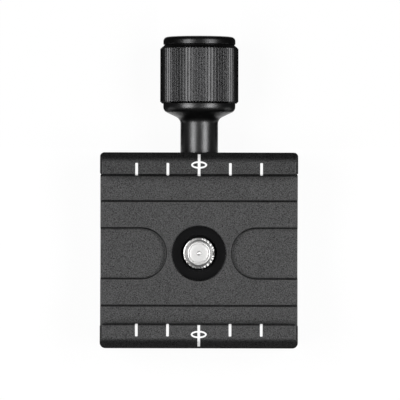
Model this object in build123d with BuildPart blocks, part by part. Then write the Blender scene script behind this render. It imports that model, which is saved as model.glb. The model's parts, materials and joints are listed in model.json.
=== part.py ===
from build123d import *
import os

# Dovetail quick release clamp: a fixed jaw on the body, and a jaw that a knob pulls towards it.
# Frame: the origin is on the mounting thread's axis in the flat underside, X runs along the jaws,
# +Y points to the knob and +Z up. Sizes are in millimetres, with the jaw part open as pictured.

# Body
clamp_length = 50.4          # along the jaws
rail_height = 15.8           # where the plate rests
channel_depth = 0.5          # lowered floor between the rails, with slanted sides
channel_width = 26.2         # at its floor
underside_chamfer = 0.5
body_corner_round = 0.5
end_edge_chamfer = 0.6       # clears the moving jaw's flank when it is closed
side_edge_break = 0.25
side_break_margin = 3.4      # unbroken length of the side edges at the body's end
pocket_depth = 1.5           # below the channel floor
pocket_width = 12.65
pocket_inner_end = 8.4       # from the mounting axis to the round inner end
pocket_edge_chamfer = 0.35

# Jaws
plate_opening = 37.5         # between the two lips, as pictured
fixed_lip = 17.75            # from the mounting axis to the fixed jaw's lip
jaw_rise = 4.0               # jaw tops above the rails
flank_rise = 2.4             # where the slanted flank ends above the rails
flank_overhang = 2.9         # depth of the moving jaw's undercut
jaw_gap = 2.35               # from the body's end to the moving jaw, as pictured
lip_edge_chamfer = 0.5
lip_corner_length = 1.5      # rounded corners of the lips, along and across the jaw
lip_corner_depth = 0.64
jaw_end_chamfer = 0.6
fixed_jaw_thickness = 6.4
fixed_top_chamfer = 2.1
fixed_top_round = 1.8
fixed_corner_round = 1.4
root_relief_radius = 0.5
moving_jaw_thickness = 6.0
moving_top_chamfer = 1.5
moving_corner_round = 1.1
moving_foot_chamfer = 0.5
foot_clearance = 0.3         # under the moving jaw

# White marks
mark_depth = 0.15
mark_width = 0.69
tick_length = 3.2
tick_pitch = 7.94
tick_lip_gap = 0.1           # from a tick's end to the lip's edge
tick_end_round = 0.2
index_length = 5.5
index_edge_gap = 0.5         # from the index bar's end to the jaw's outer face
ring_length = 4.05
ring_width = 1.9
ring_line = 0.46
ring_lip_gap = 1.85          # from the ring's near side to the lip's edge

# Mounting thread and the turned bush that carries it
mount_thread_radius = 4.7625
mount_thread_depth = 5.5
bush_radius = 7.5
bush_height = 7.0
bush_mouth_chamfer = 0.4
spanner_hole_radius = 0.8
spanner_hole_depth = 2.0
spanner_circle_radius = 6.15
stud_radius = 4.0
stud_top = 13.3              # above the underside
stud_tip_chamfer = 1.85      # across the tip's face
stud_tip_drop = 0.9          # down its side
counterbore_radius = 6.95
counterbore_edge_chamfer = 0.2
web_thickness = 2.0          # between the bush and the counterbore's floor
web_mouth_chamfer = 0.65

# Lead screw
screw_radius = 3.0
screw_end = 12.4             # from the mounting axis
screw_end_chamfer = 0.7
screw_running_clearance = 0.05
screw_bore_end = 9.2
screw_jaw_clearance = 0.3
head_across_flats = 10.0
head_height = 4.0
head_clearance = 0.05
insert_wall = 0.7
insert_length = 9.0
insert_inset = 0.2
insert_slot_width = 1.2
insert_slot_depth = 1.1

# Knob
neck_radius = 4.83
shoulder_start = 8.65        # from the jaw's outer face to the foot of the shoulder
shoulder_slope = 2.1         # along the axis, from the neck out to the collar
neck_fillet = 1.9
shoulder_round = 1.6
grip_start = 12.6            # from the jaw's outer face to the ribbed sleeve
grip_length = 14.7
grip_radius = 10.03
grip_wall = 1.43             # of the ribbed sleeve round the hub's drum
collar_step = 0.79           # from the grip down to the collar and the cap
knob_floor_clearance = 0.37  # between the grip and the surface that the clamp stands on
grip_end_chamfer = 0.7
grip_foot_chamfer = 0.5      # at the end by the collar
rib_count = 80
rib_depth = 0.3
cap_length = 2.4
cap_round = 1.1
cap_groove_width = 0.65      # shallow groove where the cap meets the sleeve
cap_groove_depth = 0.15
cap_recess_depth = 1.9
cap_spigot_wall = 2.2        # of the drum round the cap's spigot
cap_fit = 0.05

# Washers between the knob and the jaw
washer_radius = 5.4
washer_thickness = 0.5
washer_recess_clearance = 0.1
washer_gap = 0.03

# Guide pins, their springs and the screws that limit the opening
pin_from_side = 10.2         # from the clamp's side to the pin's axis
pin_radius = 2.0
pin_end = 4.6                # from the mounting axis
pin_end_chamfer = 0.4
pin_seat_depth = 2.3         # in the jaw
pin_running_clearance = 0.04
pin_bore_end = 2.0
pin_flat_depth = 1.1
spring_pocket_radius = 3.5
spring_pocket_depth = 4.8
spring_radius = 2.8          # of the wire's centre
spring_wire_width = 0.65     # flat wire, measured across the coil
spring_wire_height = 0.5
spring_turns = 5
spring_end_gap = 0.02
stop_screw_from_axis = 9.0
stop_screw_radius = 1.5
stop_screw_inset = 0.6
stop_screw_length = 7.0
stop_tip_radius = 1.0
stop_tip_gap = 0.15
stop_socket_across_flats = 1.5
stop_socket_depth = 1.5
opening_travel = 1.5
closing_travel = 2.2

# Places that follow from the sizes above
half_length = clamp_length / 2
channel_floor = rail_height - channel_depth
rail_edge = channel_width / 2 + channel_depth
jaw_top = rail_height + jaw_rise
flank_top = rail_height + flank_rise
drum_radius = grip_radius - grip_wall
collar_radius = grip_radius - collar_step
cap_spigot_radius = drum_radius - cap_spigot_wall
screw_height = grip_radius + knob_floor_clearance
pin_spacing = clamp_length - 2 * pin_from_side
fixed_face = -fixed_lip - fixed_jaw_thickness
moving_lip = plate_opening - fixed_lip
moving_face = moving_lip + moving_jaw_thickness
moving_inner = moving_lip + flank_overhang
body_end = moving_inner - jaw_gap
counterbore_floor = bush_height + web_thickness
spring_floor = body_end - spring_pocket_depth
stop_tip_top = screw_height - pin_radius + pin_flat_depth - stop_tip_gap
washer_face = moving_face - 2 * washer_thickness
neck_face = moving_face + washer_gap
head_seat = moving_face + grip_start + grip_length - cap_recess_depth - head_height
hub_face = moving_face + grip_start + grip_length
tolerance = 0.01             # for picking edges by their place
end_view = Plane.YZ
screw_axis = Axis((0, 0, screw_height), (0, 1, 0))
screw_section = Plane(origin=(0, 0, screw_height), x_dir=(0, 1, 0), z_dir=(1, 0, 0))


def towards_body(y):
    # A plane on the screw's axis that faces the body, X to the right and Z up
    return Plane(origin=(0, y, screw_height), x_dir=(1, 0, 0), z_dir=(0, -1, 0))


def towards_knob(y):
    # The same plane seen from the other side
    return Plane(origin=(0, y, screw_height), x_dir=(-1, 0, 0), z_dir=(0, 1, 0))


def body_profile():
    # End view of the body: rails, lowered channel and the fixed jaw with its undercut
    flank_foot = -fixed_lip - flank_rise
    with BuildSketch(end_view) as profile:
        with BuildLine():
            Polyline(
                (body_end - underside_chamfer, 0),
                (body_end, underside_chamfer),
                (body_end, rail_height - end_edge_chamfer),
                (body_end - end_edge_chamfer, rail_height),
                (rail_edge, rail_height),
                (channel_width / 2, channel_floor),
                (-channel_width / 2, channel_floor),
                (-rail_edge, rail_height),
                (flank_foot, rail_height),
                (-fixed_lip, flank_top),
                (-fixed_lip, jaw_top - lip_edge_chamfer),
                (-fixed_lip - lip_edge_chamfer, jaw_top),
                (fixed_face + fixed_top_chamfer, jaw_top),
                (fixed_face, jaw_top - fixed_top_chamfer),
                (fixed_face, underside_chamfer),
                (fixed_face + underside_chamfer, 0),
                close=True,
            )
        make_face()
        soft_edge = profile.vertices().sort_by_distance((fixed_face + fixed_top_chamfer, jaw_top, 0))[0]
        fillet(soft_edge, fixed_top_round)
        with Locations((flank_foot, rail_height)):
            Circle(root_relief_radius, mode=Mode.SUBTRACT)
    return profile.sketch


def moving_profile():
    # End view of the moving jaw
    with BuildSketch(end_view) as profile:
        with BuildLine():
            Polyline(
                (moving_inner + moving_foot_chamfer, foot_clearance),
                (moving_inner, foot_clearance + moving_foot_chamfer),
                (moving_inner, flank_top - flank_overhang),
                (moving_lip, flank_top),
                (moving_lip, jaw_top - lip_edge_chamfer),
                (moving_lip + lip_edge_chamfer, jaw_top),
                (moving_face - moving_top_chamfer, jaw_top),
                (moving_face, jaw_top - moving_top_chamfer),
                (moving_face, foot_clearance + moving_foot_chamfer),
                (moving_face - moving_foot_chamfer, foot_clearance),
                close=True,
            )
        make_face()
    return profile.sketch


def lip_corners(lip, inward):
    # The two slivers that round the ends of a lip, where inward points into the jaw
    with BuildSketch(Plane.XY.offset(rail_height)) as corners:
        with BuildLine():
            bow = TangentArc(
                (half_length - lip_corner_length, lip),
                (half_length, lip + inward * lip_corner_depth),
                tangent=(1, 0),
            )
            Polyline(bow @ 1, (half_length, lip), bow @ 0)
        make_face()
        mirror(about=Plane.YZ)
    return corners.sketch


def side_wedges(start, top, size):
    # The two wedges cut from the upper side edges, from start towards the fixed jaw
    with BuildSketch(Plane.XZ.offset(-start)) as wedges:
        with BuildLine():
            Polyline(
                (half_length - size, top),
                (half_length, top - size),
                (half_length, top),
                close=True,
            )
        make_face()
        mirror(about=Plane.YZ)
    return wedges.sketch


def mark_outline(lip, inward):
    # Ticks, the index bar and its ring as they lie on a jaw's top
    jaw_face = moving_face if inward > 0 else fixed_face
    tick_middle = lip + inward * (tick_lip_gap + tick_length / 2)
    index_middle = jaw_face - inward * (index_edge_gap + index_length / 2)
    ring_middle = lip + inward * (ring_lip_gap + ring_width / 2)
    with BuildSketch(Plane.XY.offset(rail_height)) as outline:
        with Locations((0, tick_middle)):
            for place in (-2, -1, 1, 2):
                with Locations((place * tick_pitch, 0)):
                    RectangleRounded(mark_width, tick_length, tick_end_round)
        with Locations((0, ring_middle)):
            Ellipse(ring_length / 2, ring_width / 2)
            Ellipse(ring_length / 2 - ring_line, ring_width / 2 - ring_line, mode=Mode.SUBTRACT)
        with Locations((0, index_middle)):
            Rectangle(mark_width, index_length)
    return outline.sketch


def jaw_marks(profile, lip, inward):
    # A skin of the jaw's own form, so that the marks follow its top and its outer bevel
    lowered = profile.moved(Location((0, 0, -mark_depth)))
    with BuildPart() as marks:
        extrude(profile, amount=half_length, both=True)
        extrude(mark_outline(lip, inward), amount=jaw_rise, mode=Mode.INTERSECT)
        extrude(lowered, amount=half_length, both=True, mode=Mode.SUBTRACT)
    return marks


def edges_at_height(builder, height):
    # Edges whose middle lies at one height
    return builder.edges().filter_by_position(Axis.Z, height - tolerance, height + tolerance)


def save(builder, name):
    builder.part.label = name
    export_step(builder.part, f"parts/{name}.step")


os.makedirs("parts", exist_ok=True)

# Paint in the marks
moving_jaw_marks = jaw_marks(moving_profile(), moving_lip, 1)
fixed_jaw_marks = jaw_marks(body_profile(), -fixed_lip, -1)
save(moving_jaw_marks, "moving_jaw_marks")
save(fixed_jaw_marks, "fixed_jaw_marks")

# Body with the fixed jaw
with BuildPart() as base_body:
    extrude(body_profile(), amount=half_length, both=True)
    # Rounded upright corners
    with BuildSketch() as plan:
        with Locations((0, (body_end + fixed_face) / 2)):
            Rectangle(clamp_length, body_end - fixed_face)
        fillet(plan.vertices().group_by(Axis.Y)[0], fixed_corner_round)
        fillet(plan.vertices().group_by(Axis.Y)[-1], body_corner_round)
    extrude(amount=jaw_top, mode=Mode.INTERSECT)
    extrude(lip_corners(-fixed_lip, -1), amount=jaw_rise, mode=Mode.SUBTRACT)
    fixed_bevels = side_wedges(-fixed_lip, jaw_top, jaw_end_chamfer)
    extrude(fixed_bevels, amount=fixed_jaw_thickness, mode=Mode.SUBTRACT)
    # Two pockets, open at the sides with round inner ends
    with BuildSketch(Plane.XY.offset(channel_floor)) as pockets:
        pocket_round = pocket_width / 2
        with Locations((pocket_inner_end + pocket_round, 0)):
            Circle(pocket_round)
        with Locations(((pocket_inner_end + pocket_round + half_length) / 2, 0)):
            Rectangle(half_length - pocket_inner_end - pocket_round, pocket_width)
        mirror(about=Plane.YZ)
    extrude(amount=-pocket_depth, mode=Mode.SUBTRACT)
    pocket_rims = edges_at_height(base_body, channel_floor).filter_by_position(
        Axis.Y, -pocket_round - tolerance, pocket_round + tolerance
    )
    chamfer(pocket_rims, pocket_edge_chamfer)
    # Broken edges where the channel and the rails meet the sides
    upper_edges = base_body.edges().filter_by_position(
        Axis.Z, channel_floor - tolerance, rail_height + tolerance
    )
    open_edges = upper_edges.filter_by_position(Axis.Y, -fixed_lip - flank_rise, rail_edge)
    side_edges = open_edges.group_by(Axis.X)
    chamfer(side_edges[0] + side_edges[-1], side_edge_break)
    break_start = body_end - side_break_margin
    rail_breaks = side_wedges(break_start, rail_height, side_edge_break)
    extrude(rail_breaks, amount=break_start - rail_edge, mode=Mode.SUBTRACT)
    # Counterbore over the web that holds the bush
    with BuildSketch(Plane.XY.offset(channel_floor)):
        Circle(counterbore_radius)
    extrude(amount=counterbore_floor - channel_floor, mode=Mode.SUBTRACT)
    with BuildSketch(Plane.XY.offset(counterbore_floor)):
        Circle(stud_radius)
    extrude(amount=-counterbore_floor, mode=Mode.SUBTRACT)
    with BuildSketch():
        Circle(bush_radius)
    extrude(amount=bush_height, mode=Mode.SUBTRACT)
    channel_rims = edges_at_height(base_body, channel_floor).filter_by(GeomType.CIRCLE)
    chamfer(channel_rims.sort_by(SortBy.RADIUS)[-1], counterbore_edge_chamfer)
    web_rims = edges_at_height(base_body, counterbore_floor).filter_by(GeomType.CIRCLE)
    chamfer(web_rims.sort_by(SortBy.RADIUS)[0], web_mouth_chamfer)
    # Bore for the insert and the screw's end
    with BuildSketch(towards_body(body_end)):
        Circle(screw_radius + screw_running_clearance + insert_wall)
    extrude(amount=insert_inset + insert_length, mode=Mode.SUBTRACT)
    with BuildSketch(towards_body(body_end)):
        Circle(screw_radius + screw_jaw_clearance)
    extrude(amount=body_end - screw_bore_end, mode=Mode.SUBTRACT)
    # Guide pin bores with spring pockets at their mouths
    with BuildSketch(towards_body(body_end)):
        with GridLocations(pin_spacing, 0, 2, 1):
            Circle(pin_radius + pin_running_clearance)
    extrude(amount=body_end - pin_bore_end, mode=Mode.SUBTRACT)
    with BuildSketch(towards_body(body_end)):
        with GridLocations(pin_spacing, 0, 2, 1):
            Circle(spring_pocket_radius)
    extrude(amount=spring_pocket_depth, mode=Mode.SUBTRACT)
    # Threaded holes for the stop screws
    with BuildSketch():
        with Locations((0, stop_screw_from_axis)):
            with GridLocations(pin_spacing, 0, 2, 1):
                Circle(stop_screw_radius)
    extrude(amount=screw_height, mode=Mode.SUBTRACT)
    add(fixed_jaw_marks.part, mode=Mode.SUBTRACT)
save(base_body, "base_body")

# Moving jaw
with BuildPart() as moving_jaw:
    extrude(moving_profile(), amount=half_length, both=True)
    with BuildSketch() as plan:
        with Locations((0, (moving_lip + moving_face) / 2)):
            Rectangle(clamp_length, moving_jaw_thickness)
        fillet(plan.vertices().group_by(Axis.Y)[-1], moving_corner_round)
    extrude(amount=jaw_top, mode=Mode.INTERSECT)
    extrude(lip_corners(moving_lip, 1), amount=jaw_rise, mode=Mode.SUBTRACT)
    moving_bevels = side_wedges(moving_face, jaw_top, jaw_end_chamfer)
    extrude(moving_bevels, amount=moving_jaw_thickness, mode=Mode.SUBTRACT)
    # Screw hole with a recess for the washers
    with BuildSketch(towards_body(moving_face)):
        Circle(washer_radius + washer_recess_clearance)
    extrude(amount=moving_face - washer_face, mode=Mode.SUBTRACT)
    with BuildSketch(towards_body(moving_face)):
        Circle(screw_radius + screw_jaw_clearance)
    extrude(amount=moving_face - moving_inner, mode=Mode.SUBTRACT)
    # Blind seats of the guide pins
    with BuildSketch(towards_knob(moving_inner)):
        with GridLocations(pin_spacing, 0, 2, 1):
            Circle(pin_radius)
    extrude(amount=pin_seat_depth, mode=Mode.SUBTRACT)
    add(moving_jaw_marks.part, mode=Mode.SUBTRACT)
save(moving_jaw, "moving_jaw")

# Mounting bush: a threaded socket below, and a stud with a turned tip through the web
with BuildPart() as mounting_bush:
    with BuildSketch():
        Circle(bush_radius)
    extrude(amount=bush_height)
    with BuildSketch(Plane.XY.offset(bush_height)):
        Circle(stud_radius)
    extrude(amount=stud_top - bush_height)
    tip = mounting_bush.faces().sort_by(Axis.Z)[-1]
    chamfer(tip.edges(), length=stud_tip_chamfer, length2=stud_tip_drop, reference=tip)
    with BuildSketch():
        Circle(mount_thread_radius)
    extrude(amount=mount_thread_depth, mode=Mode.SUBTRACT)
    mouth = mounting_bush.edges().group_by(Axis.Z)[0].sort_by(SortBy.RADIUS)[0]
    chamfer(mouth, bush_mouth_chamfer)
    with BuildSketch():
        with PolarLocations(spanner_circle_radius, 2):
            Circle(spanner_hole_radius)
    extrude(amount=spanner_hole_depth, mode=Mode.SUBTRACT)
save(mounting_bush, "mounting_bush")

# Steel insert in the body that the screw runs in, with a driving slot across its face
with BuildPart() as screw_insert:
    with BuildSketch(towards_body(body_end - insert_inset)):
        Circle(screw_radius + screw_running_clearance + insert_wall)
        Circle(screw_radius + screw_running_clearance, mode=Mode.SUBTRACT)
    extrude(amount=insert_length)
    with BuildSketch(towards_body(body_end - insert_inset)):
        Rectangle(4 * screw_radius, insert_slot_width)
    extrude(amount=insert_slot_depth, mode=Mode.SUBTRACT)
save(screw_insert, "screw_insert")

# Lead screw with its hex head in the knob
with BuildPart() as lead_screw:
    with BuildSketch(towards_knob(screw_end)):
        Circle(screw_radius)
    extrude(amount=head_seat - screw_end)
    chamfer(lead_screw.edges().group_by(Axis.Y)[0], screw_end_chamfer)
    with BuildSketch(towards_knob(head_seat)):
        RegularPolygon(head_across_flats / 2, 6, major_radius=False)
    extrude(amount=head_height)
save(lead_screw, "lead_screw")

# Turned hub: neck, shoulder, collar and the drum under the ribbed sleeve
with BuildPart() as knob_hub:
    shoulder_foot = moving_face + shoulder_start
    with BuildSketch(screw_section):
        with BuildLine():
            outline = FilletPolyline(
                (neck_face, neck_radius),
                (shoulder_foot, neck_radius),
                (shoulder_foot + shoulder_slope, collar_radius),
                (moving_face + grip_start, collar_radius),
                radius=(neck_fillet, shoulder_round),
            )
            Polyline(
                outline @ 1,
                (moving_face + grip_start, drum_radius),
                (hub_face, drum_radius),
                (hub_face, 0),
                (neck_face, 0),
                outline @ 0,
            )
        make_face()
    revolve(axis=screw_axis)
    with BuildSketch(towards_knob(neck_face)):
        Circle(screw_radius)
    extrude(amount=head_seat - neck_face, mode=Mode.SUBTRACT)
    with BuildSketch(towards_knob(head_seat)):
        RegularPolygon(head_across_flats / 2 + head_clearance, 6, major_radius=False)
    extrude(amount=head_height, mode=Mode.SUBTRACT)
    with BuildSketch(towards_knob(head_seat + head_height)):
        Circle(cap_spigot_radius + cap_fit)
    extrude(amount=cap_recess_depth, mode=Mode.SUBTRACT)
save(knob_hub, "knob_hub")

# Ribbed sleeve, with straight grooves cut all round and a bevel at each end
with BuildPart() as knob_grip:
    with BuildSketch(towards_knob(moving_face + grip_start)):
        Circle(grip_radius)
        with PolarLocations(grip_radius, rib_count):
            Rectangle(rib_depth * 2**0.5, rib_depth * 2**0.5, rotation=45, mode=Mode.SUBTRACT)
        Circle(drum_radius, mode=Mode.SUBTRACT)
    extrude(amount=grip_length)
    grip_foot = moving_face + grip_start
    for end, inner in (
        (hub_face, hub_face - grip_end_chamfer),
        (grip_foot, grip_foot + grip_foot_chamfer),
    ):
        with BuildSketch(screw_section):
            with BuildLine():
                Polyline(
                    (inner, grip_radius),
                    (end, grip_radius - abs(end - inner)),
                    (end, grip_radius),
                    close=True,
                )
            make_face()
        revolve(axis=screw_axis, mode=Mode.SUBTRACT)
save(knob_grip, "knob_grip")

# Cap that closes the hub over the screw's head
with BuildPart() as knob_cap:
    with BuildSketch(towards_knob(hub_face)):
        Circle(collar_radius)
    extrude(amount=cap_length)
    fillet(knob_cap.edges().group_by(Axis.Y)[-1], cap_round)
    with BuildSketch(screw_section):
        with BuildLine():
            Polyline(
                (hub_face, collar_radius),
                (hub_face + cap_groove_width / 2, collar_radius - cap_groove_depth),
                (hub_face + cap_groove_width, collar_radius),
                close=True,
            )
        make_face()
    revolve(axis=screw_axis, mode=Mode.SUBTRACT)
    with BuildSketch(towards_body(hub_face)):
        Circle(cap_spigot_radius)
    extrude(amount=cap_recess_depth - cap_fit)
save(knob_cap, "knob_cap")

# Nylon washer on the jaw and steel washer on the knob, both in the jaw's recess
for name, face, bore_clearance in (
    ("friction_washer", washer_face, screw_jaw_clearance),
    ("thrust_washer", neck_face - washer_thickness, screw_running_clearance),
):
    with BuildPart() as washer:
        with BuildSketch(towards_knob(face)):
            Circle(washer_radius)
            Circle(screw_radius + bore_clearance, mode=Mode.SUBTRACT)
        extrude(amount=washer_thickness)
    save(washer, name)

# Guide pins, return springs and stop screws, a set on each side
for side, x in (("left", -pin_spacing / 2), ("right", pin_spacing / 2)):
    # Pin fixed in the jaw, with a flat below that the stop screw's tip runs along
    with BuildPart() as guide_pin:
        with BuildSketch(towards_knob(pin_end)):
            with Locations((-x, 0)):
                Circle(pin_radius)
        extrude(amount=moving_inner + pin_seat_depth - pin_end)
        chamfer(guide_pin.edges().group_by(Axis.Y)[0], pin_end_chamfer)
        flat_start = stop_screw_from_axis - stop_tip_radius - opening_travel
        flat_length = 2 * stop_tip_radius + opening_travel + closing_travel + stop_tip_gap
        with BuildSketch(Plane.XY.offset(screw_height - pin_radius)):
            with Locations((x, flat_start + flat_length / 2)):
                Rectangle(2 * pin_radius, flat_length)
        extrude(amount=pin_flat_depth, mode=Mode.SUBTRACT)
    save(guide_pin, f"guide_pin_{side}")

    # Coil spring between the pocket's floor and the jaw, with ground ends
    with BuildPart() as return_spring:
        spring_length = moving_inner - spring_floor
        with BuildLine():
            coil = Helix(
                pitch=spring_length / spring_turns,
                height=spring_length,
                radius=spring_radius,
                center=(x, spring_floor, screw_height),
                direction=(0, 1, 0),
            )
        outward = coil @ 0 - Vector(x, spring_floor, screw_height)
        with BuildSketch(Plane(origin=coil @ 0, x_dir=outward, z_dir=coil % 0)):
            Rectangle(spring_wire_width, spring_wire_height)
        sweep(is_frenet=True)
        with BuildSketch(towards_knob(spring_floor + spring_end_gap)):
            with Locations((-x, 0)):
                Circle(2 * spring_radius)
        extrude(amount=spring_length - 2 * spring_end_gap, mode=Mode.INTERSECT)
    save(return_spring, f"return_spring_{side}")

    # Grub screw from the underside, with a dog point and a hex socket
    with BuildPart() as stop_screw:
        with BuildSketch(Plane.XY.offset(stop_screw_inset)):
            with Locations((x, stop_screw_from_axis)):
                Circle(stop_screw_radius)
        extrude(amount=stop_screw_length)
        with BuildSketch(Plane.XY.offset(stop_screw_inset + stop_screw_length)):
            with Locations((x, stop_screw_from_axis)):
                Circle(stop_tip_radius)
        extrude(amount=stop_tip_top - stop_screw_inset - stop_screw_length)
        with BuildSketch(Plane.XY.offset(stop_screw_inset)):
            with Locations((x, stop_screw_from_axis)):
                RegularPolygon(stop_socket_across_flats / 2, 6, major_radius=False)
        extrude(amount=stop_socket_depth, mode=Mode.SUBTRACT)
    save(stop_screw, f"stop_screw_{side}")
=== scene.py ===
import bpy
import json
import math
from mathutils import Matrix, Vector
from mathutils.bvhtree import BVHTree

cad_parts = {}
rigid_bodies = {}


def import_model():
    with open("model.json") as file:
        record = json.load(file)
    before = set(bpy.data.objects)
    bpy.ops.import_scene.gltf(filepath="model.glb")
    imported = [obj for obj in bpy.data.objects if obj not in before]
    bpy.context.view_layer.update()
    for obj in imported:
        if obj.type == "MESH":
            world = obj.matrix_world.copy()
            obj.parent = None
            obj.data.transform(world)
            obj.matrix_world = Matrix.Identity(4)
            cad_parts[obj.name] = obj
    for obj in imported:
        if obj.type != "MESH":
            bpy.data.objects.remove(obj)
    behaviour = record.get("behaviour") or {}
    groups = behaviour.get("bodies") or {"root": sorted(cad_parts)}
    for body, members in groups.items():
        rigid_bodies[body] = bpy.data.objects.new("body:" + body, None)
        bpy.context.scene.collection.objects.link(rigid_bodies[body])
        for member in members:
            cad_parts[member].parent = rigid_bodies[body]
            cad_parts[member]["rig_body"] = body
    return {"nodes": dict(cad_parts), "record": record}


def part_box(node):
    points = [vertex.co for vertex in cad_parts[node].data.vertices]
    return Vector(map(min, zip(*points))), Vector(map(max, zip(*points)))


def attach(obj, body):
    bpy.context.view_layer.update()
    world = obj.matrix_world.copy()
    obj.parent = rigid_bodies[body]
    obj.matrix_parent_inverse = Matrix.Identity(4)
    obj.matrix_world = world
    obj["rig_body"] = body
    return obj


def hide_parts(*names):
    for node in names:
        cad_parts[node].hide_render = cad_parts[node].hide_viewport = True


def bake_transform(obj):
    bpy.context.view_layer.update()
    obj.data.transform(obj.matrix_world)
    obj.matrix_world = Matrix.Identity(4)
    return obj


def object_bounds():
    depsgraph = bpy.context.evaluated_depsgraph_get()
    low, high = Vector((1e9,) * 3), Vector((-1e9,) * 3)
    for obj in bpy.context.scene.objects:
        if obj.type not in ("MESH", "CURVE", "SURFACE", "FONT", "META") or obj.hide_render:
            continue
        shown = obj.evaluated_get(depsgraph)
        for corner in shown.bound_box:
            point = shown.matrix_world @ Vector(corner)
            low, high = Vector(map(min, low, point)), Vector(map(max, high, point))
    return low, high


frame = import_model()
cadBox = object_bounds()
mm = 0.001  # sizes below are in millimetres where they are multiplied by this


# node helpers

def newMaterial(name):
    material = bpy.data.materials.new(name)
    material.use_nodes = True
    tree = material.node_tree
    return material, tree, tree.nodes["Principled BSDF"]


def addNode(tree, kind, **values):
    node = tree.nodes.new(kind)
    for key, value in values.items():
        setattr(node, key, value)
    return node


def setInputs(node, **values):
    for key, value in values.items():
        node.inputs[key.replace("_", " ")].default_value = value
    return node


def mathNode(tree, operation, first, second):
    node = addNode(tree, "ShaderNodeMath", operation=operation)
    for socket, value in zip(node.inputs, (first, second)):
        if isinstance(value, (int, float)):
            socket.default_value = value
        else:
            tree.links.new(value, socket)
    return node.outputs[0]


# shared effects, as node groups that put out masks and heights

grainSettings = {
    "turn": (0.5, 0.3, 0.7),  # radians, so that no face lies along the noise's grid
    "coarser": 0.04,  # the mottle's scale, as a share of the grain's
    "shade": (0.33, 0.67),  # between the dark and the light colour
    "mottleFrom": (0.3, 0.7),  # the part of the mottle that varies the gloss
}


def makeGrainGroup():
    group = bpy.data.node_groups.new("blastGrain", "ShaderNodeTree")
    side = group.interface
    side.new_socket("Size", in_out="INPUT", socket_type="NodeSocketFloat")
    side.new_socket("Height", in_out="OUTPUT", socket_type="NodeSocketFloat")
    side.new_socket("Mottle", in_out="OUTPUT", socket_type="NodeSocketFloat")
    start = group.nodes.new("NodeGroupInput")
    end = group.nodes.new("NodeGroupOutput")
    place = group.nodes.new("ShaderNodeTexCoord")
    turned = setInputs(group.nodes.new("ShaderNodeMapping"), Rotation=grainSettings["turn"])
    group.links.new(place.outputs["Object"], turned.inputs["Vector"])
    scale = addNode(group, "ShaderNodeMath", operation="DIVIDE")
    scale.inputs[0].default_value = 1.0
    group.links.new(start.outputs["Size"], scale.inputs[1])
    pits = setInputs(group.nodes.new("ShaderNodeTexNoise"), Detail=4.0, Roughness=0.7)
    group.links.new(turned.outputs[0], pits.inputs["Vector"])
    group.links.new(scale.outputs[0], pits.inputs["Scale"])
    coarse = addNode(group, "ShaderNodeMath", operation="MULTIPLY")
    coarse.inputs[1].default_value = grainSettings["coarser"]
    group.links.new(scale.outputs[0], coarse.inputs[0])
    mottle = setInputs(group.nodes.new("ShaderNodeTexNoise"), Detail=3.0, Roughness=0.5)
    group.links.new(turned.outputs[0], mottle.inputs["Vector"])
    group.links.new(coarse.outputs[0], mottle.inputs["Scale"])
    group.links.new(pits.outputs["Fac"], end.inputs["Height"])
    group.links.new(mottle.outputs["Fac"], end.inputs["Mottle"])
    return group


grainGroup = makeGrainGroup()


def makeTurnedGroup():
    # feed marks of the lathe, round the Z axis of the place given
    group = bpy.data.node_groups.new("turnedRings", "ShaderNodeTree")
    side = group.interface
    side.new_socket("Place", in_out="INPUT", socket_type="NodeSocketVector")
    side.new_socket("Pitch", in_out="INPUT", socket_type="NodeSocketFloat")
    side.new_socket("Height", in_out="OUTPUT", socket_type="NodeSocketFloat")
    start = group.nodes.new("NodeGroupInput")
    end = group.nodes.new("NodeGroupOutput")
    split = group.nodes.new("ShaderNodeSeparateXYZ")
    group.links.new(start.outputs["Place"], split.inputs[0])
    across = group.nodes.new("ShaderNodeCombineXYZ")
    group.links.new(split.outputs["X"], across.inputs["X"])
    group.links.new(split.outputs["Y"], across.inputs["Y"])
    radius = addNode(group, "ShaderNodeVectorMath", operation="LENGTH")
    group.links.new(across.outputs[0], radius.inputs[0])
    profile = group.nodes.new("ShaderNodeCombineXYZ")
    group.links.new(radius.outputs["Value"], profile.inputs["X"])
    group.links.new(split.outputs["Z"], profile.inputs["Y"])
    scale = addNode(group, "ShaderNodeMath", operation="DIVIDE")
    scale.inputs[0].default_value = 1.0
    group.links.new(start.outputs["Pitch"], scale.inputs[1])
    marks = setInputs(group.nodes.new("ShaderNodeTexNoise"), Detail=1.0, Roughness=0.5)
    group.links.new(profile.outputs[0], marks.inputs["Vector"])
    group.links.new(scale.outputs[0], marks.inputs["Scale"])
    group.links.new(marks.outputs["Fac"], end.inputs["Height"])
    return group


turnedGroup = makeTurnedGroup()


def addGrain(tree, size):
    grain = addNode(tree, "ShaderNodeGroup", node_tree=grainGroup)
    grain.inputs["Size"].default_value = size
    return grain


def addRings(tree, pitch, centre=(0, 0, 0), turn=(0, 0, 0)):
    place = tree.nodes.new("ShaderNodeTexCoord")
    aligned = setInputs(tree.nodes.new("ShaderNodeMapping"), Location=centre, Rotation=turn)
    tree.links.new(place.outputs["Object"], aligned.inputs["Vector"])
    rings = addNode(tree, "ShaderNodeGroup", node_tree=turnedGroup)
    rings.inputs["Pitch"].default_value = pitch
    tree.links.new(aligned.outputs[0], rings.inputs["Place"])
    return rings.outputs["Height"]


def rangeNode(tree, source, low, high, fromLow=0.0, fromHigh=1.0):
    node = tree.nodes.new("ShaderNodeMapRange")
    setInputs(node, From_Min=fromLow, From_Max=fromHigh, To_Min=low, To_Max=high)
    tree.links.new(source, node.inputs["Value"])
    return node.outputs["Result"]


def mixColours(tree, factor, low, high):
    node = addNode(tree, "ShaderNodeMix", data_type="RGBA")
    node.inputs["A"].default_value = (*low, 1.0)
    node.inputs["B"].default_value = (*high, 1.0)
    tree.links.new(factor, node.inputs["Factor"])
    return node.outputs["Result"]


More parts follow.
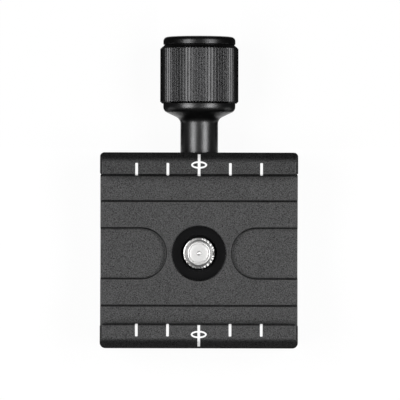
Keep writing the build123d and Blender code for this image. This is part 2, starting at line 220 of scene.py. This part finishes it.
def addBump(tree, height, shader, distance, strength=1.0):
    bump = setInputs(tree.nodes.new("ShaderNodeBump"), Strength=strength, Distance=distance)
    tree.links.new(height, bump.inputs["Height"])
    tree.links.new(bump.outputs["Normal"], shader.inputs["Normal"])
    return bump


# finishes

screwLow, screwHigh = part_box("lead_screw")
knobAxis = {
    # the height of the knob's axis, as a place once Y is turned to Z
    "centre": (0, (screwLow.z + screwHigh.z) / 2, 0),
    "turn": (math.radians(90), 0, 0),
}
# grain and rings are each a size and a depth, in metres
anodisedFinishes = {
    "bodyBlack": {
        "dark": (0.01, 0.01, 0.0101),
        "light": (0.14, 0.14, 0.141),
        "rough": (0.5, 0.58),
        "grain": (0.00024, 0.00006),
    },
    "jawBlack": {
        "dark": (0.007, 0.007, 0.0071),
        "light": (0.115, 0.115, 0.116),
        "rough": (0.5, 0.58),
        "grain": (0.00024, 0.00006),
    },
    "hubBlack": {
        "dark": (0.055, 0.055, 0.0557),
        "light": (0.1, 0.1, 0.1012),
        "rough": (0.3, 0.36),
        "grain": (0.00025, 0.000025),
        "rings": (0.00008, 0.000002),
    },
    "gripBlack": {
        "dark": (0.032, 0.032, 0.0324),
        "light": (0.054, 0.054, 0.0548),
        "rough": (0.22, 0.28),
        "grain": (0.0002, 0.000006),
    },
    "capBlack": {
        "dark": (0.03, 0.03, 0.0304),
        "light": (0.06, 0.06, 0.0607),
        "rough": (0.28, 0.34),
        "grain": (0.00025, 0.00002),
        "rings": (0.00008, 0.000002),
    },
    # painted shade: a darker colour for the counterbore's faces, where the deep recess lies in
    # shade
    "boreBlack": {
        "dark": (0.035, 0.035, 0.036),
        "light": (0.05, 0.05, 0.052),
        "rough": (0.2, 0.26),
        "grain": (0.0002, 0.000003),
    },
    # lighter, glossier finishes for the broken edges: painted highlights along them
    "bodyEdge": {
        "dark": (0.06, 0.06, 0.061),
        "light": (0.1, 0.1, 0.102),
        "rough": (0.42, 0.5),
        "grain": (0.0002, 0.00001),
    },
    "jawEdge": {
        "dark": (0.06, 0.06, 0.061),
        "light": (0.1, 0.1, 0.102),
        "rough": (0.42, 0.5),
        "grain": (0.0002, 0.00001),
    },
    "hubEdge": {
        "dark": (0.1, 0.1, 0.104),
        "light": (0.14, 0.14, 0.145),
        "rough": (0.24, 0.3),
        "grain": (0.0002, 0.000003),
    },
    "gripEdge": {
        "dark": (0.08, 0.08, 0.082),
        "light": (0.12, 0.12, 0.123),
        "rough": (0.26, 0.34),
        "grain": (0.0002, 0.000003),
    },
    "capEdge": {
        "dark": (0.1, 0.1, 0.104),
        "light": (0.14, 0.14, 0.145),
        "rough": (0.24, 0.3),
        "grain": (0.0002, 0.000003),
    },
}
metalFinishes = {
    "bushSteel": {
        "colour": (0.86, 0.855, 0.845),
        "rough": 0.42,
        "grain": (0.0003, 0.000003),
        "rings": (0.00008, 0.000004),
    },
    "insertSteel": {"colour": (0.55, 0.55, 0.55), "rough": 0.3, "grain": (0.0003, 0.000004)},
    "screwSteel": {"colour": (0.58, 0.58, 0.59), "rough": 0.28, "grain": (0.0003, 0.000004)},
    "washerSteel": {"colour": (0.6, 0.6, 0.61), "rough": 0.28, "grain": (0.0003, 0.000004)},
    "pinSteel": {"colour": (0.62, 0.62, 0.63), "rough": 0.14, "grain": (0.0004, 0.000002)},
    "springSteel": {"colour": (0.5, 0.5, 0.51), "rough": 0.25, "grain": (0.0004, 0.000002)},
    "stopSteel": {"colour": (0.09, 0.09, 0.095), "rough": 0.32, "grain": (0.0003, 0.000004)},
}
metalRoughSpread = 0.1
paintFinishes = {
    "washerNylon": {"colour": (0.75, 0.74, 0.7), "rough": (0.4, 0.55), "grain": (0.0003, 0.000004)},
    "markWhite": {"colour": (0.93, 0.93, 0.93), "rough": (0.4, 0.55), "grain": (0.0003, 0.000004)},
}


def varyGloss(tree, grain, shader, low, high):
    rough = rangeNode(tree, grain.outputs["Mottle"], low, high, *grainSettings["mottleFrom"])
    tree.links.new(rough, shader.inputs["Roughness"])


def anodised(name):
    s = anodisedFinishes[name]
    material, tree, shader = newMaterial(name)
    grainSize, grainDepth = s["grain"]
    grain = addGrain(tree, grainSize)
    shade = rangeNode(tree, grain.outputs["Height"], 0.0, 1.0, *grainSettings["shade"])
    tree.links.new(mixColours(tree, shade, s["dark"], s["light"]), shader.inputs["Base Color"])
    varyGloss(tree, grain, shader, *s["rough"])
    height = rangeNode(tree, grain.outputs["Height"], 0.0, grainDepth)
    if "rings" in s:
        ringPitch, ringDepth = s["rings"]
        rings = addRings(tree, ringPitch, knobAxis["centre"], knobAxis["turn"])
        height = mathNode(tree, "ADD", height, rangeNode(tree, rings, 0.0, ringDepth))
    addBump(tree, height, shader, 1.0)
    shader.inputs["Metallic"].default_value = 1.0
    return material


def plainMetal(name):
    s = metalFinishes[name]
    material, tree, shader = newMaterial(name)
    grainSize, grainDepth = s["grain"]
    grain = addGrain(tree, grainSize)
    shader.inputs["Base Color"].default_value = (*s["colour"], 1.0)
    shader.inputs["Metallic"].default_value = 1.0
    varyGloss(tree, grain, shader, s["rough"], s["rough"] + metalRoughSpread)
    height = rangeNode(tree, grain.outputs["Height"], 0.0, grainDepth)
    if "rings" in s:
        ringPitch, ringDepth = s["rings"]
        rings = addRings(tree, ringPitch)
        height = mathNode(tree, "ADD", height, rangeNode(tree, rings, 0.0, ringDepth))
    addBump(tree, height, shader, 1.0)
    return material


def paint(name):
    s = paintFinishes[name]
    material, tree, shader = newMaterial(name)
    grainSize, grainDepth = s["grain"]
    grain = addGrain(tree, grainSize)
    shader.inputs["Base Color"].default_value = (*s["colour"], 1.0)
    varyGloss(tree, grain, shader, *s["rough"])
    addBump(tree, grain.outputs["Height"], shader, grainDepth)
    return material


finishes = {
    "body_black": anodised("bodyBlack"),
    "jaw_black": anodised("jawBlack"),
    "hub_black": anodised("hubBlack"),
    "grip_black": anodised("gripBlack"),
    "cap_black": anodised("capBlack"),
    "bush_steel": plainMetal("bushSteel"),
    "insert_steel": plainMetal("insertSteel"),
    "screw_steel": plainMetal("screwSteel"),
    "washer_steel": plainMetal("washerSteel"),
    "pin_steel": plainMetal("pinSteel"),
    "spring_steel": plainMetal("springSteel"),
    "stop_steel": plainMetal("stopSteel"),
    "washer_nylon": paint("washerNylon"),
    "mark_white": paint("markWhite"),
}
# painted shade for the counterbore's faces
borePaintedShadeFinish = anodised("boreBlack")
# painted highlights: lighter finishes for the broken edges
edgeHighlightFinishes = {
    "body_black": anodised("bodyEdge"),
    "jaw_black": anodised("jawEdge"),
    "hub_black": anodised("hubEdge"),
    "grip_black": anodised("gripEdge"),
    "cap_black": anodised("capEdge"),
}
slotOfNode = {part["node"]: part["material_slot"] for part in frame["record"]["subparts"]}
for nodeName, node in frame["nodes"].items():
    node.data.materials.clear()
    node.data.materials.append(finishes[slotOfNode[nodeName]])
print("finishes done")


# working with pieces

def selectOnly(piece):
    bpy.ops.object.select_all(action="DESELECT")
    piece.select_set(True)
    bpy.context.view_layer.objects.active = piece


def openMesh(piece):
    selectOnly(piece)
    bpy.ops.object.mode_set(mode="EDIT")
    bpy.ops.mesh.select_all(action="SELECT")


def closeMesh():
    bpy.ops.object.mode_set(mode="OBJECT")


def standFor(piece, nodeName):
    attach(piece, frame["nodes"][nodeName]["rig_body"])
    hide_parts(nodeName)


# machined edges, broken on copies of the CAD nodes

edgeSettings = {
    "joinWithin": 0.001 * mm,
    "flatWithin": 0.3,  # degrees between the triangles of one face
    "sharpFrom": 26.0,  # degrees, edges that are broken
    "smoothBelow": 33.0,
    "paintWithin": 0.004 * mm,  # edges this near the paint stay crisp
    "segments": 2,
    "slot": 1,  # the lighter edge finish's place among the piece's materials; its lighter colour is a painted highlight
}
edgeWidths = {
    "base_body": 0.06 * mm,
    "moving_jaw": 0.06 * mm,
    "knob_hub": 0.07 * mm,
    "knob_grip": 0.04 * mm,
    "knob_cap": 0.07 * mm,
}


def copyNode(nodeName):
    # a merged copy of a CAD node's mesh, named after it
    node = frame["nodes"][nodeName]
    words = nodeName.split("_")
    pieceName = words[0] + "".join(word.capitalize() for word in words[1:])
    piece = bpy.data.objects.new(pieceName, node.data.copy())
    bpy.context.collection.objects.link(piece)
    openMesh(piece)
    bpy.ops.mesh.remove_doubles(threshold=edgeSettings["joinWithin"])
    bpy.ops.mesh.dissolve_limited(angle_limit=math.radians(edgeSettings["flatWithin"]))
    closeMesh()
    return piece


def smoothFlats(piece):
    # soft across broken edges, with the flats beside them kept flat
    selectOnly(piece)
    bpy.ops.object.shade_smooth_by_angle(angle=math.radians(edgeSettings["smoothBelow"]))
    flats = piece.modifiers.new("flats", "WEIGHTED_NORMAL")
    flats.keep_sharp = True
    bpy.ops.object.modifier_apply(modifier=flats.name)


# the knob side of the moving jaw's top, rounded over with its paint

jawRound = {
    "node": "moving_jaw",
    "marks": "moving_jaw_marks",
    "chamfer": 1.5 * mm,
    "chamferAngle": 45.0,
    "wider": 0.3 * mm,
    "reach": 0.9 * mm,
    "cuts": 10,
    "skin": 0.35 * mm,  # what lies this near the surface follows it fully
    "fade": 1.0 * mm,
}


def roundOver(piece):
    s = jawRound
    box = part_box(s["node"])
    top, outer = box[1].z, box[1].y
    corner = outer - s["chamfer"] - s["wider"]
    angle = math.radians(s["chamferAngle"])
    radius = s["reach"] / math.tan(angle / 2)
    start = corner - s["reach"]
    end = corner + s["reach"] * math.cos(angle)

    def roundedHeight(y):
        if y <= start:
            return top
        if y >= end:
            return top - (y - corner)
        return top - radius + math.sqrt(radius ** 2 - (y - start) ** 2)

    for step in range(s["cuts"] + 1):
        openMesh(piece)
        cut = start + (end - start) * step / s["cuts"]
        bpy.ops.mesh.bisect(plane_co=(0, cut, 0), plane_no=(0, 1, 0))
        closeMesh()
    for vertex in piece.data.vertices:
        place = vertex.co
        sharp = top - max(0, place.y - (outer - s["chamfer"]))
        depth = sharp - place.z
        share = min(max(1 - (depth - s["skin"]) / s["fade"], 0), 1)
        place.z -= (sharp - roundedHeight(place.y)) * share


def roundMarks():
    marks = copyNode(jawRound["marks"])
    roundOver(marks)
    smoothFlats(marks)
    standFor(marks, jawRound["marks"])
    return marks


paintPieces = [frame["nodes"]["fixed_jaw_marks"], roundMarks()]


def keepPaintEdges(piece):
    graph = bpy.context.evaluated_depsgraph_get()
    trees = [BVHTree.FromObject(paintPiece, graph) for paintPiece in paintPieces]
    mesh = piece.data
    for edge in mesh.edges:
        if edge.select:
            first, last = (mesh.vertices[index].co for index in edge.vertices)
            places = (first, (first + last) / 2, last)
            within = edgeSettings["paintWithin"]
            for tree in trees:
                if all(tree.find_nearest(place, within)[0] for place in places):
                    edge.select = False


gripSettings = {
    "node": "knob_grip",
    "ribDepth": 0.3 * mm,
    "slack": 1.02,  # what counts as part of a groove, past its depth
    "keptShare": 0.7,
}


def easeRibs(piece):
    # shallower grooves, with their ends kept on the bevels of the grip
    s = gripSettings
    low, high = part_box(s["node"])
    middle = (low + high) / 2
    gripRadius = (high.x - low.x) / 2
    for vertex in piece.data.vertices:
        place = vertex.co
        radius = math.hypot(place.x, place.z - middle.z)
        depth = gripRadius - radius
        if 0 < depth < s["ribDepth"] * s["slack"]:
            lift = depth * (1 - s["keptShare"])
            grow = 1 + lift / radius
            place.x *= grow
            place.z = middle.z + (place.z - middle.z) * grow
            place.y += math.copysign(lift, middle.y - place.y)


capSettings = {
    "node": "knob_cap",
    "grooveWidth": 0.65 * mm,
    "grooveDepth": 0.15 * mm,
    "slopeWidth": 0.5 * mm,
    "slopeDepth": 0.3 * mm,
    "within": 0.02 * mm,
}


def slopeFoot(piece):
    # the shallow groove at the cap's foot becomes a slope down to the sleeve
    s = capSettings
    low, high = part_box(s["node"])
    middle = (low + high) / 2
    capRadius = (high.x - low.x) / 2
    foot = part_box(gripSettings["node"])[1].y
    grooveRadius = capRadius - s["grooveDepth"]
    grooveEnd = foot + s["grooveWidth"]
    slopeEnd = foot + s["slopeWidth"]
    for vertex in piece.data.vertices:
        place = vertex.co
        radius = math.hypot(place.x, place.z - middle.z)
        if abs(radius - grooveRadius) < s["within"]:
            wanted = capRadius - s["slopeDepth"]
            if place.y > (foot + grooveEnd) / 2:
                wanted = capRadius
                place.y = slopeEnd
            place.x *= wanted / radius
            place.z = middle.z + (place.z - middle.z) * wanted / radius
        elif abs(radius - capRadius) < s["within"] and abs(place.y - grooveEnd) < s["within"]:
            place.y = slopeEnd
    openMesh(piece)
    bpy.ops.mesh.remove_doubles(threshold=s["within"])
    closeMesh()


# the faces of the counterbore that take the painted shade
boreShadeSettings = {
    "node": "base_body",
    "radius": 7.1 * mm,
    "low": 8.0 * mm,
    "high": 15.2 * mm,
}


def paintBoreShade(piece):
    # a darker, glossier finish on the counterbore's faces; the darker colour is painted shade for
    # the deep recess
    piece.data.materials.append(borePaintedShadeFinish)
    boreShadeSlot = len(piece.data.materials) - 1
    for face in piece.data.polygons:
        place = face.center
        around = math.hypot(place.x, place.y) < boreShadeSettings["radius"]
        if around and boreShadeSettings["low"] < place.z < boreShadeSettings["high"]:
            face.material_index = boreShadeSlot


def breakEdges(nodeName, width):
    piece = copyNode(nodeName)
    # the broken edges take the lighter finish, a painted highlight
    piece.data.materials.append(edgeHighlightFinishes[slotOfNode[nodeName]])
    if nodeName == gripSettings["node"]:
        easeRibs(piece)
    if nodeName == jawRound["node"]:
        roundOver(piece)
    if nodeName == capSettings["node"]:
        slopeFoot(piece)
    openMesh(piece)
    bpy.ops.mesh.select_mode(type="EDGE")
    bpy.ops.mesh.select_all(action="DESELECT")
    bpy.ops.mesh.edges_select_sharp(sharpness=math.radians(edgeSettings["sharpFrom"]))
    closeMesh()
    keepPaintEdges(piece)
    bpy.ops.object.mode_set(mode="EDIT")
    bpy.ops.mesh.bevel(
        offset=width,
        segments=edgeSettings["segments"],
        affect="EDGES",
        clamp_overlap=False,
        material=edgeSettings["slot"],
    )
    closeMesh()
    smoothFlats(piece)
    if nodeName == boreShadeSettings["node"]:
        paintBoreShade(piece)
    standFor(piece, nodeName)


for nodeName, width in edgeWidths.items():
    breakEdges(nodeName, width)
print("edges done")


# turned and threaded pieces

turnedSettings = {
    "segments": 128,
    "joinWithin": 0.0005 * mm,
    "smoothBelow": 40.0,  # degrees
}


def turnPiece(name, rings, segments=turnedSettings["segments"], closed=True):
    # a disc at the first ring, extruded from ring to ring up the Z axis,
    # or an open loop whose last ring meets its first
    bpy.ops.object.select_all(action="DESELECT")
    bpy.ops.mesh.primitive_circle_add(
        vertices=segments,
        radius=rings[0][0],
        fill_type="NGON" if closed else "NOTHING",
        location=(0, 0, rings[0][1]),
    )
    piece = bpy.context.object
    piece.name = name
    bpy.ops.object.transform_apply(location=True, rotation=True, scale=True)
    openMesh(piece)
    for (radius, height), (nextRadius, nextHeight) in zip(rings, rings[1:]):
        rise = (0, 0, nextHeight - height)
        bpy.ops.mesh.extrude_region_move(TRANSFORM_OT_translate={"value": rise})
        grow = nextRadius / radius
        bpy.ops.transform.resize(value=(grow, grow, 1), center_override=(0, 0, nextHeight))
    bpy.ops.mesh.select_all(action="SELECT")
    bpy.ops.mesh.remove_doubles(threshold=turnedSettings["joinWithin"])
    bpy.ops.mesh.normals_make_consistent(inside=False)
    closeMesh()
    return piece


def finishTurned(piece, material):
    selectOnly(piece)
    piece.data.materials.clear()
    piece.data.materials.append(material)
    bpy.ops.object.shade_smooth_by_angle(angle=math.radians(turnedSettings["smoothBelow"]))


def evenRings(low, high, pitch, radiusAt):
    # rings close enough together to carry a thread
    count = round(threadSettings["ringsPerTurn"] * abs(high - low) / pitch)
    heights = [low + (high - low) * step / count for step in range(count + 1)]
    return [(radiusAt(height), height) for height in heights]


threadSettings = {
    "ringsPerTurn": 16,
    "crestFlat": 0.125,  # shares of half a turn
    "rootFlat": 0.25,
}


def threadShare(angle, height, pitch):
    # 0 on the crest and 1 in the root of a right-hand thread
    across = 2 * abs((height / pitch - angle / math.tau) % 1.0 - 0.5)
    sloped = 1 - threadSettings["crestFlat"] - threadSettings["rootFlat"]
    return min(max((across - threadSettings["crestFlat"]) / sloped, 0), 1)


def cutThread(piece, low, high, within, pitch, depth, outer):
    # moves the rings between two heights, an outer thread in from its crest,
    # and an inner one out from it
    for vertex in piece.data.vertices:
        place = vertex.co
        radius = math.hypot(place.x, place.y)
        if low <= place.z <= high and within[0] <= radius <= within[1]:
            share = threadShare(math.atan2(place.y, place.x), place.z, pitch)
            if outer:
                wanted = min(radius, within[1] - depth * share)
            else:
                wanted = max(radius, within[0] + depth * share)
            place.x *= wanted / radius
            place.y *= wanted / radius


bushSettings = {
    "edge": 0.2 * mm,
    "studCrest": 3.97 * mm,
    "studPitch": 1.25 * mm,
    "studDepth": 0.72 * mm,
    "studStart": 8.0 * mm,
    "tipDrop": 0.9 * mm,
    # the turned tip: radius and depth below the end, in millimetres
    "tipProfile": (
        (3.97, 0.9), (3.72, 0.8), (3.7, 1.15), (3.52, 1.15), (3.49, 0.58),
        (3.0, 0.22), (2.98, 0.5), (2.86, 0.5), (2.84, 0.12), (2.68, 0.08),
        (2.66, 0.5), (2.42, 0.5), (2.38, 0.02), (2.3, 0.0), (1.5, 0.0),
    ),
    "tipThread": 0.7 * mm,  # the thread runs out this far below the end
    "pipRadius": 0.6 * mm,
    "pipDepth": 0.28 * mm,
    "pipRings": ((1.0, 0.0), (0.75, 0.5), (0.4, 1.0)),  # shares of its radius and depth
    "drillTip": 0.1 * mm,  # radius of the socket's inner end, and what it leaves of the bush
    "socketPitch": 25.4 / 16 * mm,
    "socketDepth": 0.8 * mm,
    "socketMouth": 0.4 * mm,
    "bushHeight": 7.0 * mm,
    "pinHoleSegments": 32,
    "pinHoleRadius": 0.8 * mm,
    "pinHoleDepth": 2.0 * mm,
    "pinHoleCircle": 6.15 * mm,
}


def makeBush():
    s = bushSettings
    low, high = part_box("mounting_bush")
    bushRadius = high.x
    mount = next(item for item in frame["record"]["mounts"] if item["name"] == "mounting_thread")
    socketRadius = mount["dims"]["r_mm"] * mm
    socketEnd = mount["dims"]["length_mm"] * mm
    socketCrest = socketRadius - s["socketDepth"]
    tipStart = high.z - s["tipDrop"]
    studRoot = s["studCrest"] - s["studDepth"]

    def socketRing(height):
        return max(socketCrest, socketRadius + s["socketMouth"] - height)

    rings = [(s["drillTip"], s["bushHeight"] - s["drillTip"]), (socketCrest, socketEnd)]
    rings += evenRings(socketEnd, 0, s["socketPitch"], socketRing)[1:]
    rings += [(bushRadius - s["edge"], 0), (bushRadius, s["edge"])]
    rings += [(bushRadius, s["bushHeight"] - s["edge"]), (bushRadius - s["edge"], s["bushHeight"])]
    rings += [(studRoot, s["bushHeight"]), (studRoot, s["studStart"])]
    rings += evenRings(s["studStart"], tipStart, s["studPitch"], lambda height: s["studCrest"])
    rings += [(radius * mm, high.z - depth * mm) for radius, depth in s["tipProfile"][1:]]
    for radiusShare, depthShare in s["pipRings"]:
        rings.append((s["pipRadius"] * radiusShare, high.z - s["pipDepth"] * depthShare))
    bush = turnPiece("mountingBush", rings)
    socketWithin = (socketCrest, socketRadius + s["socketMouth"])
    cutThread(bush, 0, socketEnd, socketWithin, s["socketPitch"], s["socketDepth"], False)
    threadEnd = high.z - s["tipThread"]
    studWithin = (studRoot, s["studCrest"])
    cutThread(bush, s["studStart"], threadEnd, studWithin, s["studPitch"], s["studDepth"], True)
    for side in (-1, 1):
        bpy.ops.mesh.primitive_cylinder_add(
            vertices=s["pinHoleSegments"],
            radius=s["pinHoleRadius"],
            depth=2 * s["pinHoleDepth"],
            location=(side * s["pinHoleCircle"], 0, 0),
        )
        drill = bpy.context.object
        cut = bush.modifiers.new("pinHole", "BOOLEAN")
        cut.object = drill
        cut.solver = "EXACT"
        selectOnly(bush)
        bpy.ops.object.modifier_apply(modifier=cut.name)
        bpy.data.objects.remove(drill)
    finishTurned(bush, finishes["bush_steel"])
    standFor(bush, "mounting_bush")


makeBush()

webSettings = {
    "holeRadius": 4.0 * mm,
    "mouthChamfer": 0.65 * mm,
    "mouthHeight": 9.0 * mm,
    "pitch": 1.25 * mm,
    "ridge": 0.09 * mm,
    "innerGap": 0.03 * mm,  # kept free at the chamfer's two edges
    "outerGap": 0.02 * mm,
    "steps": 14,
    "lift": 0.01 * mm,  # above the chamfer
    "under": 0.1 * mm,  # how deep its underside lies in the body
    "fade": 0.15 * mm,  # where the ridge rises at the two edges
}


def makeWebThread():
    # what shows of the body's thread round the stud, on the chamfer of its mouth
    s = webSettings
    inner = s["holeRadius"] + s["innerGap"]
    outer = s["holeRadius"] + s["mouthChamfer"] - s["outerGap"]
    base = s["mouthHeight"] - s["mouthChamfer"] - s["holeRadius"]
    radii = [inner + (outer - inner) * step / s["steps"] for step in range(s["steps"] + 1)]
    face = [(radius, base + radius + s["lift"]) for radius in radii]
    underside = [(radius + s["under"] / 2, base + radius - s["under"]) for radius in (outer, inner)]
    thread = turnPiece("webThread", face + underside + face[:1], closed=False)
    for vertex in thread.data.vertices:
        place = vertex.co
        radius = math.hypot(place.x, place.y)
        if place.z > base + radius:
            edge = min(radius - inner, outer - radius) / s["fade"]
            share = threadShare(math.atan2(place.y, place.x), place.z * 2, s["pitch"])
            lift = s["ridge"] * (1 - share) * min(max(edge, 0), 1)
            place.x -= place.x / radius * lift / 2
            place.y -= place.y / radius * lift / 2
            place.z += lift / 2
    # the ridge takes the lighter edge finish, a painted glint on the thread
    finishTurned(thread, edgeHighlightFinishes["body_black"])
    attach(thread, "base")


makeWebThread()

screwSettings = {
    "segments": 96,
    "radius": 2.98 * mm,
    "pitch": 1.0 * mm,
    "depth": 0.55 * mm,
    "endChamfer": 0.7 * mm,
    "threadLength": 13.5 * mm,
    "runOut": 0.2 * mm,
    "headHeight": 4.0 * mm,
    "headChamfer": 0.3 * mm,
}


def makeLeadScrew():
    s = screwSettings
    low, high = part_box("lead_screw")
    centre = (low + high) / 2
    length = high.y - low.y

    def screwRing(height):
        return min(s["radius"], s["radius"] - s["endChamfer"] + height)

    threadEnd = s["threadLength"]
    rings = evenRings(0, threadEnd, s["pitch"], screwRing)
    shankEnd = length - s["headHeight"]
    rings += [(s["radius"], threadEnd + s["runOut"]), (s["radius"], shankEnd)]
    screw = turnPiece("leadScrew", rings, segments=s["segments"])
    within = (s["radius"] - s["endChamfer"], s["radius"])
    cutThread(screw, 0, threadEnd, within, s["pitch"], s["depth"], True)
    bpy.ops.object.select_all(action="DESELECT")
    bpy.ops.mesh.primitive_cylinder_add(
        vertices=6,
        radius=(high.x - low.x) / 2,
        depth=s["headHeight"],
        location=(0, 0, shankEnd + s["headHeight"] / 2),
    )
    head = bpy.context.object
    openMesh(head)
    bpy.ops.mesh.bevel(offset=s["headChamfer"], segments=2, affect="EDGES")
    closeMesh()
    screw.select_set(True)
    bpy.context.view_layer.objects.active = screw
    bpy.ops.object.join()
    screw.rotation_euler = (math.radians(-90), 0, 0)
    screw.location = (centre.x, low.y, centre.z)
    bpy.ops.object.transform_apply(location=True, rotation=True, scale=True)
    finishTurned(screw, finishes["screw_steel"])
    standFor(screw, "lead_screw")


makeLeadScrew()
print("threads done")


# return springs: smoothed copies of their CAD nodes, which stay as they are while the jaw slides

def makeSpring(nodeName):
    spring = copyNode(nodeName)
    smoothFlats(spring)
    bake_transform(spring)
    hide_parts(nodeName)


for nodeName in ("return_spring_left", "return_spring_right"):
    makeSpring(nodeName)
print("springs done")


# floor, light and camera

stageSettings = {
    "floorSize": 0.24,
    "floorGap": 0.05 * mm,
    "floorShade": 0.82,
    "matt": 0.9,
    "floorGlow": 0.92,  # share of the floor that is plain white, the rest takes the shadow
    "seenWhite": 1.02,
    "whiteInGloss": 1.0,
    "horizonLight": 0.06,
    "zenithLight": 0.2,
    "zenithStart": 0.72,  # height on the unit sky where the overhead panel fades in
    "zenithFull": 0.93,
}


def seenBy(tree):
    # two masks: rays of the camera or glass, and those with gloss added
    path = tree.nodes.new("ShaderNodeLightPath").outputs
    direct = mathNode(tree, "MAXIMUM", path["Is Camera Ray"], path["Is Transmission Ray"])
    return direct, mathNode(tree, "MAXIMUM", direct, path["Is Glossy Ray"])


def makeFloor():
    bpy.ops.object.select_all(action="DESELECT")
    height = cadBox[0].z - stageSettings["floorGap"]
    bpy.ops.mesh.primitive_plane_add(size=stageSettings["floorSize"], location=(0, 0, height))
    floor = bpy.context.object
    floor.name = "floor"
    bpy.ops.object.transform_apply(location=True, rotation=True, scale=True)
    material, tree, shader = newMaterial("paleFloor")
    shade = stageSettings["floorShade"]
    shader.inputs["Base Color"].default_value = (shade, shade, shade, 1.0)
    shader.inputs["Roughness"].default_value = stageSettings["matt"]
    direct, seen = seenBy(tree)
    glow = tree.nodes.new("ShaderNodeEmission")
    level = rangeNode(tree, direct, stageSettings["whiteInGloss"], stageSettings["seenWhite"])
    tree.links.new(level, glow.inputs["Strength"])
    blend = tree.nodes.new("ShaderNodeMixShader")
    plainWhite = mathNode(tree, "MULTIPLY", seen, stageSettings["floorGlow"])
    tree.links.new(plainWhite, blend.inputs["Fac"])
    tree.links.new(shader.outputs["BSDF"], blend.inputs[1])
    tree.links.new(glow.outputs["Emission"], blend.inputs[2])
    clear = tree.nodes.new("ShaderNodeBsdfTransparent")  # the floor is clear from below
    oneSided = tree.nodes.new("ShaderNodeMixShader")
    sides = tree.nodes.new("ShaderNodeNewGeometry")
    tree.links.new(sides.outputs["Backfacing"], oneSided.inputs["Fac"])
    tree.links.new(blend.outputs["Shader"], oneSided.inputs[1])
    tree.links.new(clear.outputs["BSDF"], oneSided.inputs[2])
    tree.links.new(oneSided.outputs["Shader"], tree.nodes["Material Output"].inputs["Surface"])
    floor.data.materials.append(material)


makeFloor()

flagSettings = {
    "lift": 0.3 * mm,
    "dark": 0.02,
    "grey": 0.2,
    "beside": 10.8 * mm,  # from the knob's axis
    "outer": 118.0 * mm,
    "behindJaw": 27.0 * mm,
    "beforeJaw": -24.0 * mm,
}


def addFlag(name, low, high, material):
    # a dark card out of the camera's sight, which keeps edges that turn away from the light dark
    bpy.ops.object.select_all(action="DESELECT")
    place = ((low[0] + high[0]) / 2, (low[1] + high[1]) / 2, cadBox[0].z + flagSettings["lift"])
    bpy.ops.mesh.primitive_plane_add(size=1, location=place)
    flag = bpy.context.object
    flag.name = name
    flag.scale = (high[0] - low[0], high[1] - low[1], 1)
    bpy.ops.object.transform_apply(location=True, rotation=True, scale=True)
    flag.data.materials.append(material)
    flag.visible_camera = False
    flag.visible_shadow = False


def flagFinish(name, shade):
    material, _, shader = newMaterial(name)
    shader.inputs["Base Color"].default_value = (shade, shade, shade, 1.0)
    shader.inputs["Roughness"].default_value = stageSettings["matt"]
    return material


def makeFlags():
    s = flagSettings
    dark = flagFinish("flagDark", s["dark"])
    grey = flagFinish("flagGrey", s["grey"])
    addFlag("flagLeft", (-s["outer"], s["behindJaw"]), (-s["beside"], s["outer"]), dark)
    addFlag("flagRight", (s["beside"], s["behindJaw"]), (s["outer"], s["outer"]), dark)
    addFlag("flagFront", (-s["outer"], -s["outer"]), (s["outer"], s["beforeJaw"]), grey)


makeFlags()


def makeStudio():
    # dark sides and a bright panel overhead, plain white where the camera looks past the floor
    world = bpy.data.worlds.new("studio")
    bpy.context.scene.world = world
    world.use_nodes = True
    tree = world.node_tree
    place = tree.nodes.new("ShaderNodeTexCoord")
    split = tree.nodes.new("ShaderNodeSeparateXYZ")
    tree.links.new(place.outputs["Generated"], split.inputs[0])
    panel = addNode(tree, "ShaderNodeMapRange", interpolation_type="SMOOTHSTEP")
    setInputs(panel, From_Min=stageSettings["zenithStart"], From_Max=stageSettings["zenithFull"])
    setInputs(panel, To_Min=stageSettings["horizonLight"], To_Max=stageSettings["zenithLight"])
    tree.links.new(split.outputs["Z"], panel.inputs["Value"])
    direct, seen = seenBy(tree)
    level = mathNode(tree, "MAXIMUM", panel.outputs["Result"], direct)
    tree.links.new(level, tree.nodes["Background"].inputs["Strength"])
    tree.nodes["Background"].inputs["Color"].default_value = (1.0, 1.0, 1.0, 1.0)


makeStudio()

softboxes = {
    "distance": 0.62,
    "lean": 36.0,  # degrees from straight up
    "width": 0.24,
    "length": 0.5,
    "power": 2.5,
}


def addSoftbox(name, lean):
    aim = Vector((0, cadBox[1].y / 2, 0))
    turn = math.radians(lean)
    place = aim + softboxes["distance"] * Vector((math.sin(turn), 0, math.cos(turn)))
    bpy.ops.object.light_add(type="AREA", location=place, rotation=(0, turn, 0))
    lamp = bpy.context.object
    lamp.name = name
    lamp.data.shape = "RECTANGLE"
    lamp.data.size = softboxes["width"]
    lamp.data.size_y = softboxes["length"]
    lamp.data.energy = softboxes["power"]


addSoftbox("softboxLeft", -softboxes["lean"])
addSoftbox("softboxRight", softboxes["lean"])

cameraSettings = {
    "pixels": 400,
    "pixelSize": 0.254 * mm,  # at the height of the jaws
    "distance": 1.0,
    "aim": (0.24 * mm, 13.64 * mm),
    "roll": 0.13,
}
bpy.ops.object.camera_add(
    location=(*cameraSettings["aim"], cadBox[1].z + cameraSettings["distance"]),
    rotation=(0, 0, math.radians(cameraSettings["roll"])),
)
camera = bpy.context.object
fieldWidth = cameraSettings["pixels"] * cameraSettings["pixelSize"]
camera.data.lens = camera.data.sensor_width * cameraSettings["distance"] / fieldWidth
bpy.context.scene.camera = camera
bpy.context.scene.view_settings.view_transform = "Standard"
print("stage done")
